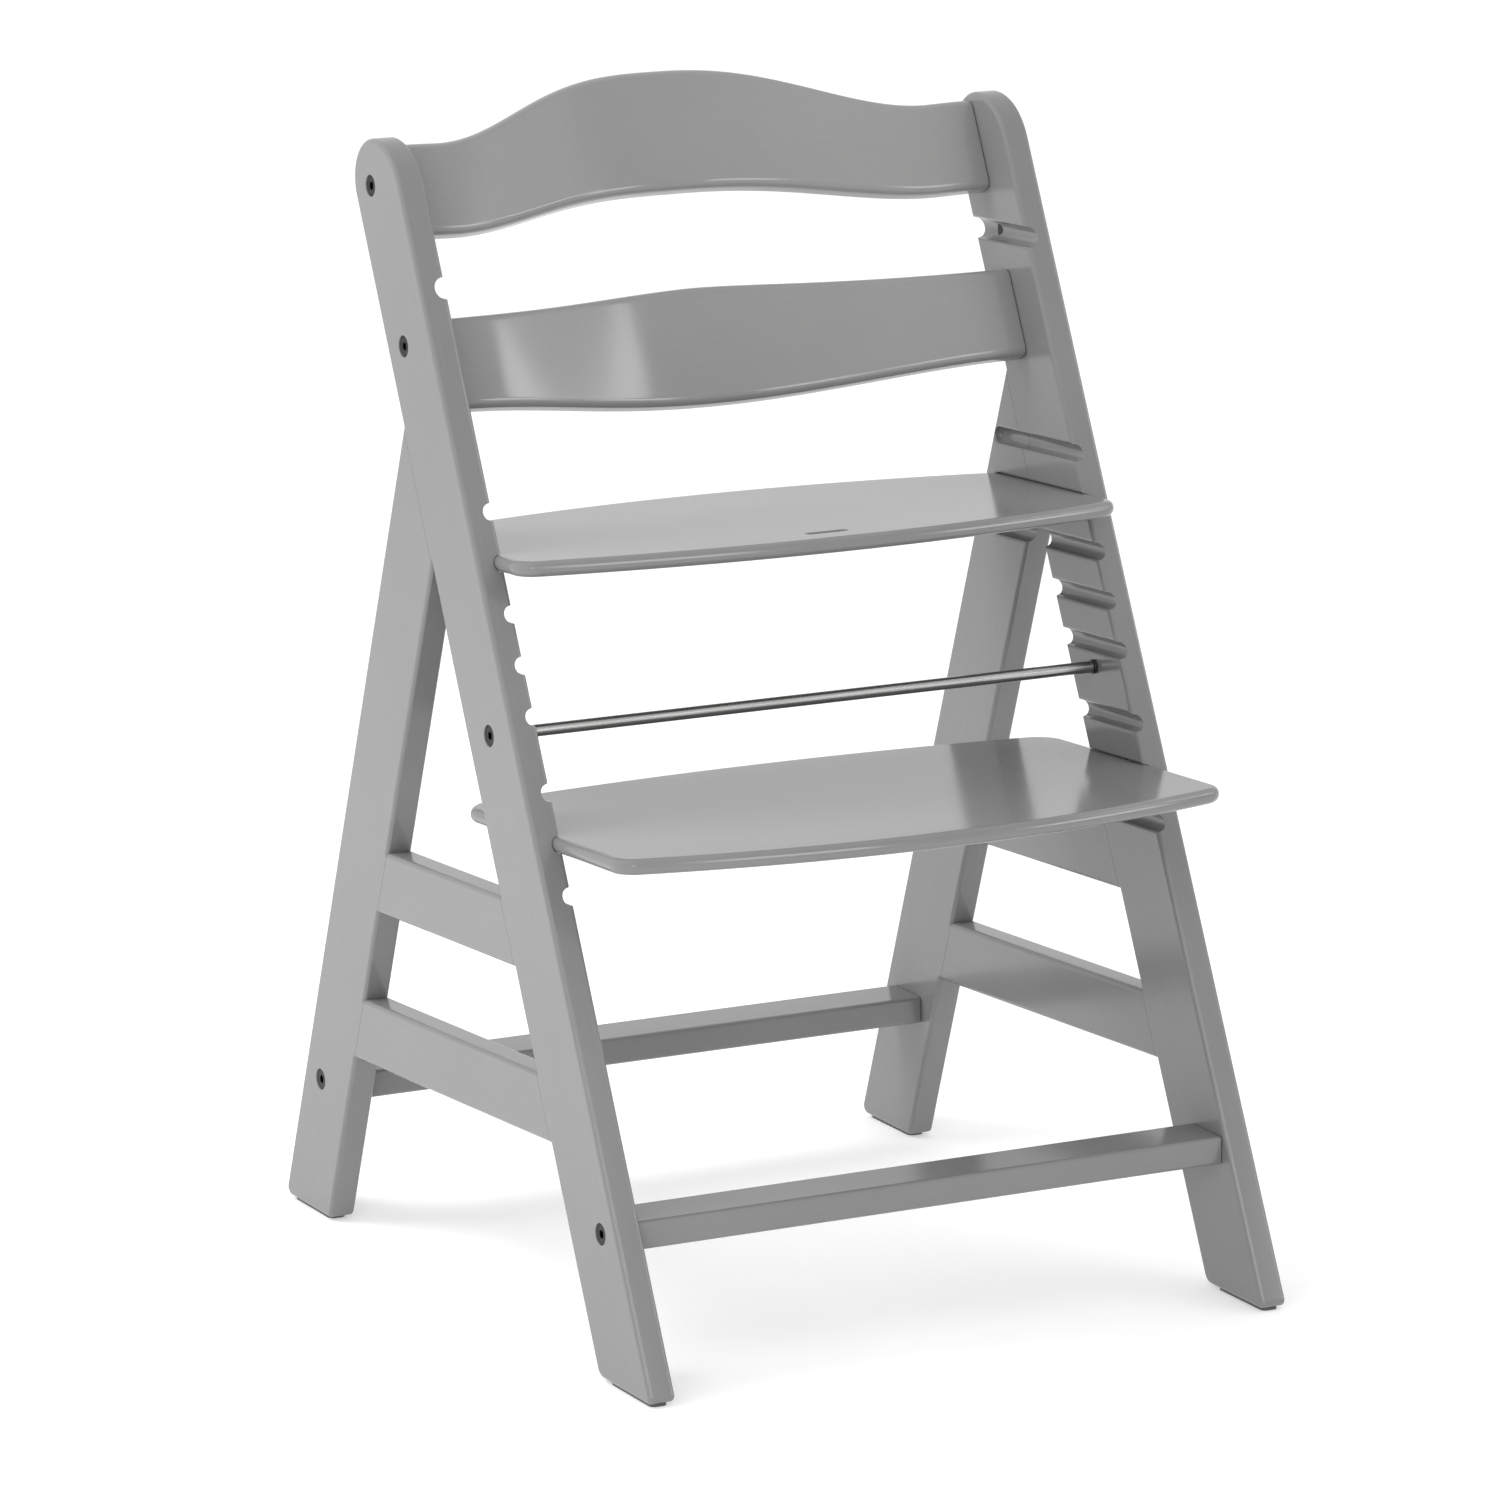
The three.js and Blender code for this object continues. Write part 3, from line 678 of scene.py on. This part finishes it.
def build_side():
    """Drills one side frame, cuts it along its glued joints and adds it on both sides."""
    blank = plate(side_outlines(), OUTER_X - INNER_X, EDGE_ROUND)
    middle_x = (OUTER_X + INNER_X) / 2 * MM
    blank.transform(Matrix(((0, 0, 1, middle_x), (1, 0, 0, 0), (0, 1, 0, 0), (0, 0, 0, 1))))
    cutters = groove_cutters(ACCESSORY_GROOVE, radius=ACCESSORY_GROOVE_RADIUS) + side_holes()
    for step in range(FOOT_GROOVES):
        cutters += groove_cutters(FOOT_GROOVE_LOW + step * GROOVE_PITCH)
    for step in range(SEAT_GROOVES):
        stop_y = None if step < OPEN_SEAT_GROOVES else GROOVE_STOP
        cutters += groove_cutters(SEAT_GROOVE_LOW + step * GROOVE_PITCH, stop_y)
    drilled = boolean(blank, cutters)

    seam = GAP / 2
    below, above, far = -10, 800, 400

    def through(corners):
        return prism_yz(corners, INNER_X - 10, OUTER_X + 10)

    def before(line):
        return through(
            [(-far, below), (line(below) - seam, below), (line(above) - seam, above), (-far, above)]
        )

    def behind(line):
        return through(
            [(line(below) + seam, below), (far, below), (far, above), (line(above) + seam, above)]
        )

    def rail_band(level):
        corners = []
        for line, side, edge in (
            (post_rear_line, 1, -1),
            (leg_front_line, -1, -1),
            (leg_front_line, -1, 1),
            (post_rear_line, 1, 1),
        ):
            y, z, _ = meet(line, level + edge * RAIL_HEIGHT)
            corners.append((y + side * seam, z))
        return through(corners)

    def shared(mesh, cutter, flatten=True):
        return boolean(mesh.copy(), [cutter], "INTERSECT", flatten)

    back_part = shared(drilled, behind(post_rear_line), flatten=False)
    made = {
        "front_post": (shared(drilled, before(post_rear_line)), post_lacquer),
        "upper_rail": (shared(drilled, rail_band(UPPER_RAIL)), rail_lacquer),
        "lower_rail": (shared(drilled, rail_band(LOWER_RAIL)), rail_lacquer),
        "rear_leg": (shared(back_part, behind(leg_front_line)), leg_lacquer),
    }
    for name, (mesh, look) in made.items():
        raised(mesh)
        for side, copy in (("right", mesh), ("left", mirrored(mesh))):
            cad_node = f"{side}_{name}"
            add_piece(f"{cad_node}_lacquered", copy, look, "frame_lacquer", "frame", cad_node)


build_side()

# ---------------------------------------------------------------- holes in the cross pieces


def bar_hole_cutters(joint):
    """Cutters for the bolt, dowel and cross nut holes in both ends of a cross piece."""
    (bolt_y, bolt_z), (dowel_y, dowel_z) = joint["bolt"], joint["dowel"]
    nut_x = INNER_X - joint["nut_inset"]
    tip = nut_x - NUT_RADIUS - TIP_PAST_NUT
    cutters = [
        turned([(tip, SHANK_RADIUS + GAP), (INNER_X + 1, SHANK_RADIUS + GAP)], bolt_y, bolt_z, 24),
        turned(
            [(INNER_X - DOWEL_IN_BAR - GAP, DOWEL_RADIUS + GAP), (INNER_X + 1, DOWEL_RADIUS + GAP)],
            dowel_y,
            dowel_z,
            24,
        ),
    ]
    nut_hole = turned([(0, NUT_RADIUS + GAP), (NUT_HOLE_LENGTH, NUT_RADIUS + GAP)], 0, 0, 32)
    top = (NUT_LENGTH / 2 + GAP - NUT_SHIFT) * MM
    nut_hole.transform(
        Matrix.Translation((nut_x * MM, bolt_y * MM, bolt_z * MM))
        @ Matrix.Rotation(-joint["nut_turn"], 4, "X")
        @ Matrix.Translation((0, 0, top))
        @ Matrix.Rotation(math.pi / 2, 4, "Y")
    )
    cutters.append(nut_hole)
    return cutters + [mirrored(cutter) for cutter in cutters]


# ---------------------------------------------------------------- backrests


def wave(x, reach, power):
    """One smooth rise: 1 in the middle, 0 from the reach outwards."""
    return (1 + math.cos(math.pi * min(1, abs(x) / reach) ** power)) / 2


def round_rectangle(low_a, high_a, low_b, high_b, radius, segments=5):
    """Points of a rectangle with rounded corners."""
    points = []
    corners = ((high_a, high_b, 0), (low_a, high_b, 1), (low_a, low_b, 2), (high_a, low_b, 3))
    for a, b, quarter in corners:
        centre_a = a - math.copysign(radius, a - (low_a + high_a) / 2)
        centre_b = b - math.copysign(radius, b - (low_b + high_b) / 2)
        for k in range(segments + 1):
            angle = math.pi / 2 * (quarter + k / segments)
            points.append((centre_a + radius * math.cos(angle), centre_b + radius * math.sin(angle)))
    return points


def bar_stations(end, count):
    """(x, inset) along a bar, with its two ends slightly rounded."""
    ends = []
    for k in range(4):
        a = math.pi / 2 * k / 3
        ends.append((end - END_ROUND * (1 - math.sin(a)), END_ROUND * (1 - math.cos(a))))
    inner = end - END_ROUND
    stations = [(-x, inset) for x, inset in reversed(ends)]
    stations += [(inner * (2 * k / count - 1), 0) for k in range(1, count)]
    return stations + ends


def build_backrest(name, slat):
    """A curved slat whose face bows back in the middle and whose edges rise in one wave."""
    rings = []
    for x, inset in bar_stations(INNER_X - GAP, SLAT_STATIONS):
        face = SLAT_FACE + SLAT_BOW * wave(x, INNER_X, SLAT_BOW_POWER)
        rise = wave(x, slat["reach"], slat["power"])
        bottom = slat["bottom"] + slat["bottom_rise"] * rise
        top = slat["top"] + slat["top_rise"] * rise
        section = round_rectangle(
            face + inset, face + SLAT_THICKNESS - inset, bottom + inset, top - inset, SLAT_ROUND
        )
        ring = []
        for u, v in section:
            y, z = on_post(u, v)
            ring.append((x, y, z))
        rings.append(ring)
    mesh = raised(boolean(lofted(rings), bar_hole_cutters(JOINTS[name])))
    add_piece(f"{name}_lacquered", mesh, slat_lacquer_painted_lighter, "frame_lacquer", "frame", name)


build_backrest("top_backrest", TOP_SLAT)
build_backrest("lower_backrest", LOWER_SLAT)

# ---------------------------------------------------------------- crossbars


def build_crossbar(name, middle_y):
    rings = []
    for x, inset in bar_stations(INNER_X - GAP, CROSSBAR_STATIONS):
        section = round_rectangle(
            middle_y - CROSSBAR_DEPTH / 2 + inset,
            middle_y + CROSSBAR_DEPTH / 2 - inset,
            CROSSBAR_LEVEL - CROSSBAR_HEIGHT / 2 + inset,
            CROSSBAR_LEVEL + CROSSBAR_HEIGHT / 2 - inset,
            CROSSBAR_ROUND,
        )
        rings.append([(x, y, z) for y, z in section])
    mesh = raised(boolean(lofted(rings), bar_hole_cutters(JOINTS[name])))
    add_piece(f"{name}_lacquered", mesh, bar_lacquer, "frame_lacquer", "frame", name)


build_crossbar("front_crossbar", FRONT_CROSSBAR_Y)
build_crossbar("rear_crossbar", REAR_CROSSBAR_Y)

# ---------------------------------------------------------------- bolts, tie rod and rings


def bolt_mesh(y, z, radius, tip_x, segments=48):
    """A bolt with a chamfered cylinder head and a hexagon socket, its shank along +X."""

    def circle(x, r):
        angles = [2 * math.pi * i / segments for i in range(segments)]
        return [(x, y + r * math.cos(a), z + r * math.sin(a)) for a in angles]

    def hexagon(x, half_width):
        ring = []
        for i in range(segments):
            a = 2 * math.pi * i / segments
            fold = (a + math.pi / 6) % (math.pi / 3) - math.pi / 6
            r = half_width / math.cos(fold)
            ring.append((x, y + r * math.cos(a), z + r * math.sin(a)))
        return ring

    rings = [
        circle(tip_x, radius - TIP_CHAMFER),
        circle(tip_x + TIP_CHAMFER, radius),
        circle(HEAD_INNER, radius),
        circle(HEAD_INNER, HEAD_RADIUS - 0.2),
        circle(HEAD_INNER + 0.2, HEAD_RADIUS),
        circle(HEAD_OUTER - HEAD_CHAMFER, HEAD_RADIUS),
        circle(HEAD_OUTER - 0.18, HEAD_RADIUS - 0.15),
        circle(HEAD_OUTER, HEAD_RADIUS - HEAD_CHAMFER),
        hexagon(HEAD_OUTER, SOCKET_WIDTH / 2 + SOCKET_CHAMFER),
        hexagon(HEAD_OUTER - SOCKET_CHAMFER, SOCKET_WIDTH / 2),
        hexagon(HEAD_OUTER - SOCKET_DEPTH, SOCKET_WIDTH / 2),
        circle(HEAD_OUTER - SOCKET_DEPTH, 1.6),
        circle(HEAD_OUTER - SOCKET_DEPTH - 0.6, 0.4),
    ]
    return raised(lofted(rings))


def add_bolt(name, place, radius, tip_x):
    right = bolt_mesh(*place, radius, tip_x)
    for side, mesh in (("right", right), ("left", mirrored(right))):
        cad_node = f"{side}_{name}_bolt"
        add_piece(f"{cad_node}_turned", mesh, bolt_black, "bolt_black", "frame", cad_node, sharp=30)


for joint_name, joint in JOINTS.items():
    tip = INNER_X - joint["nut_inset"] - NUT_RADIUS - TIP_PAST_NUT + GAP
    add_bolt(joint_name, joint["bolt"], SHANK_RADIUS, tip)
add_bolt("tie_rod", (ROD_Y, ROD_LEVEL), ROD_SHANK_RADIUS, ROD_END - ROD_BOLT_REACH + GAP)

rod_profile = []
for sign in (-1, 1):
    ends = [
        (sign * (ROD_END - ROD_BOLT_REACH), ROD_SHANK_RADIUS + GAP),
        (sign * ROD_END, ROD_SHANK_RADIUS + GAP),
        (sign * ROD_END, ROD_RADIUS - ROD_CHAMFER),
        (sign * (ROD_END - ROD_CHAMFER), ROD_RADIUS),
    ]
    rod_profile += ends if sign < 0 else ends[::-1]
tie_rod = raised(turned(rod_profile, ROD_Y, ROD_LEVEL, 64))
add_piece("tie_rod_drawn", tie_rod, rod_steel, "rod_steel", "frame", "tie_rod")


def ring_mesh():
    """A moulded ring with a rounded outside."""
    inner = ROD_SHANK_RADIUS + GAP
    rim = ROD_RADIUS + ROD_RING_RIM - ROD_RING_ROUND
    near, far = ROD_END + GAP, INNER_X - GAP
    profile = [(near, inner), (near, rim)]
    for k in range(1, 6):
        a = math.pi * k / 6
        x = (near + far) / 2 - (far - near) / 2 * math.cos(a)
        profile.append((x, rim + ROD_RING_ROUND * math.sin(a)))
    profile += [(far, rim), (far, inner)]
    verts, faces, segments = [], [], 48
    for x, r in profile:
        for i in range(segments):
            a = 2 * math.pi * i / segments
            verts.append((x, ROD_Y + r * math.cos(a), ROD_LEVEL + r * math.sin(a)))
    n = len(profile)
    for p in range(n):
        q = (p + 1) % n
        for i in range(segments):
            j = (i + 1) % segments
            faces.append((p * segments + i, p * segments + j, q * segments + j, q * segments + i))
    return raised(to_mesh(verts, faces))


right_ring = ring_mesh()
for side, mesh in (("right", right_ring), ("left", mirrored(right_ring))):
    cad_node = f"{side}_rod_ring"
    add_piece(f"{cad_node}_moulded", mesh, ring_rubber, "ring_rubber", "frame", cad_node)

# ---------------------------------------------------------------- seat board and foot board


def board_outline(front, front_bow, rear, rear_bow, front_round, rear_round):
    """Points of a board's outline: bowed front and rear edges between rounded corners."""
    half_width = INNER_X + GROOVE_LIP_DEPTH + BOARD_THICKNESS / 2 - GAP
    steps = 40
    corner_room = 26
    reach = half_width - corner_room
    across = [reach * (2 * k / steps - 1) for k in range(steps + 1)]

    def front_edge(x):
        return front + front_bow * (x / half_width) ** 2

    def rear_edge(x):
        return rear - rear_bow * (x / half_width) ** 2

    front_y, rear_y = front_edge(half_width), rear_edge(half_width)
    corners = [(x, front_edge(x), 0) for x in across]
    corners += [(half_width, front_y, front_round), (half_width, rear_y, rear_round)]
    corners += [(x, rear_edge(x), 0) for x in reversed(across)]
    corners += [(-half_width, rear_y, rear_round), (-half_width, front_y, front_round)]
    return rounded_outline(corners, math.radians(4))


def slot_cutter():
    """The strap slot, with softly rounded rims on both faces of the board."""
    half = BOARD_THICKNESS / 2
    levels = [(-half - 0.5, 1.2), (-half, 0.9), (-half + 0.5, 0.3), (-half + 1.2, 0)]
    levels += [(-z, grow) for z, grow in reversed(levels)]
    rings = []
    for z, grow in levels:
        side = STRAP_SLOT["half_width"] + grow
        front, rear = STRAP_SLOT["front"] - grow, STRAP_SLOT["rear"] + grow
        corners = round_rectangle(-side, side, front, rear, STRAP_SLOT["round"] + grow)
        rings.append([(x, y, z) for x, y in corners])
    return lofted(rings)


def build_board(name, body, height, outline, cutters):
    """A board with full round edges, tilted into the pair of grooves at a height."""
    rim = BOARD_THICKNESS / 2 - BOARD_RIM_FLAT
    mesh = plate([board_outline(**outline)], BOARD_THICKNESS, rim, 8)
    if cutters:
        mesh = boolean(mesh, cutters)
    middle_z = (height + FALL * front_line(height)) * MM
    mesh.transform(Matrix.Translation((0, 0, middle_z)) @ Matrix.Rotation(-TILT, 4, "X"))
    add_piece(f"{name}_lacquered", raised(mesh), board_lacquer, "board_lacquer", body, name)


build_board("seat_board", "seat", SEAT_GROOVE, SEAT_OUTLINE, [slot_cutter()])
build_board("foot_board", "footrest", FOOT_GROOVE, FOOT_OUTLINE, [])

# ---------------------------------------------------------------- parts that keep their CAD shape

SMALL_PART_LOOKS = {"_nut": nut_zinc, "_dowel": dowel_beech, "_glide": glide_plastic}
for cad_name, cad_object in frame["nodes"].items():
    for ending, look in SMALL_PART_LOOKS.items():
        if cad_name.endswith(ending):
            cad_object.data.materials.clear()
            cad_object.data.materials.append(look)
            cad_object.data.set_sharp_from_angle(angle=math.radians(35))

# ---------------------------------------------------------------- camera

AZIMUTH = math.radians(-27.721)
ELEVATION = math.radians(12.934)
DISTANCE = 5.4163
TARGET = Vector((-0.02026, -0.00265, 0.35085))
IMAGE_SIDE = 1500
FOCAL_IN_PIXELS = 8177.7
SHIFT_IN_PIXELS = -2.185
SENSOR_WIDTH = 36


def direction_from(azimuth, elevation):
    """The direction from a target to something at this azimuth and elevation, in radians."""
    return Vector(
        (
            math.sin(azimuth) * math.cos(elevation),
            -math.cos(azimuth) * math.cos(elevation),
            math.sin(elevation),
        )
    )


back = direction_from(AZIMUTH, ELEVATION)
camera = bpy.data.objects.new("camera", bpy.data.cameras.new("camera"))
scene.collection.objects.link(camera)
camera.location = TARGET + back * DISTANCE
camera.rotation_mode = "QUATERNION"
camera.rotation_quaternion = (-back).to_track_quat("-Z", "Y")
camera.data.sensor_width = SENSOR_WIDTH
camera.data.lens = FOCAL_IN_PIXELS / IMAGE_SIDE * camera.data.sensor_width
camera.data.shift_y = SHIFT_IN_PIXELS / IMAGE_SIDE
camera.data.clip_end = 100
scene.camera = camera

# ---------------------------------------------------------------- studio

WORLD_STRENGTH = 0.92
FLOOR_SIZE = 60
FLOOR_WHITE = (0.76, 0.76, 0.76)
FLOOR_GLOW = 0.35

scene.view_settings.view_transform = "Standard"

world = bpy.data.worlds.new("studio")
world.use_nodes = True
world.node_tree.nodes["Background"].inputs["Color"].default_value = (1, 1, 1, 1)
world.node_tree.nodes["Background"].inputs["Strength"].default_value = WORLD_STRENGTH
scene.world = world

bpy.ops.mesh.primitive_plane_add(size=FLOOR_SIZE)
floor = bpy.context.object
floor.name = "floor"
floor_look = dull("floor_paper", FLOOR_WHITE, (0.7, 0.9), 40.0, 0.001, 0.01)
floor_inputs = floor_look.node_tree.nodes["Principled BSDF"].inputs
floor_inputs["Emission Color"].default_value = (1, 1, 1, 1)
floor_inputs["Emission Strength"].default_value = FLOOR_GLOW
floor.data.materials.append(floor_look)


LOWER_BACKREST = (-0.066, 0.089, 0.607)
CHAIR_MIDDLE = (0.0, 0.0, 0.45)


def soft_box(name, seen_by, place, size, brightness, aim=CHAIR_MIDDLE, roll=0):
    """A rectangular light that only the gloss or only the body colour of the surfaces sees.

    Its place is an azimuth in degrees from the front towards the chair's right side, an elevation
    in degrees and a distance in metres, all from the aim. Its brightness is its radiance.
    """
    azimuth, elevation, distance = place
    width, height = size
    light = bpy.data.objects.new(name, bpy.data.lights.new(name, "AREA"))
    scene.collection.objects.link(light)
    light.data.shape = "RECTANGLE"
    light.data.size = width
    light.data.size_y = height
    light.data.energy = brightness * math.pi * width * height
    towards = direction_from(math.radians(azimuth), math.radians(elevation))
    light.location = Vector(aim) + towards * distance
    light.rotation_mode = "QUATERNION"
    rolled = Matrix.Rotation(math.radians(roll), 3, "Z").to_quaternion()
    light.rotation_quaternion = (-towards).to_track_quat("-Z", "Y") @ rolled
    light.visible_glossy = seen_by == "gloss"
    light.visible_diffuse = seen_by == "body"
    light.visible_camera = False


soft_box("strip", "gloss", (64.9, 19.4, 1.92), (0.17, 0.95), 5.4, aim=LOWER_BACKREST, roll=35)
soft_box("side_panel", "gloss", (82, 27, 2.2), (1.3, 1.4), 0.6, aim=LOWER_BACKREST)
soft_box("low_panel", "gloss", (48, 12, 4.0), (1.3, 1.2), 5.0)
soft_box("front_panel", "gloss", (8, 18, 4.0), (1.4, 1.7), 4.5)
soft_box("camera_panel", "gloss", (-32, 20, 4.0), (0.7, 0.9), 7.0)
soft_box("right_box", "body", (46, 22, 1.9), (0.7, 0.9), 1.2)
soft_box("left_box", "body", (-50, 9, 2.3), (1.3, 1.3), 2.3)
soft_box("rear_left_box", "body", (-118, 42, 2.4), (1.3, 1.3), 6.2)
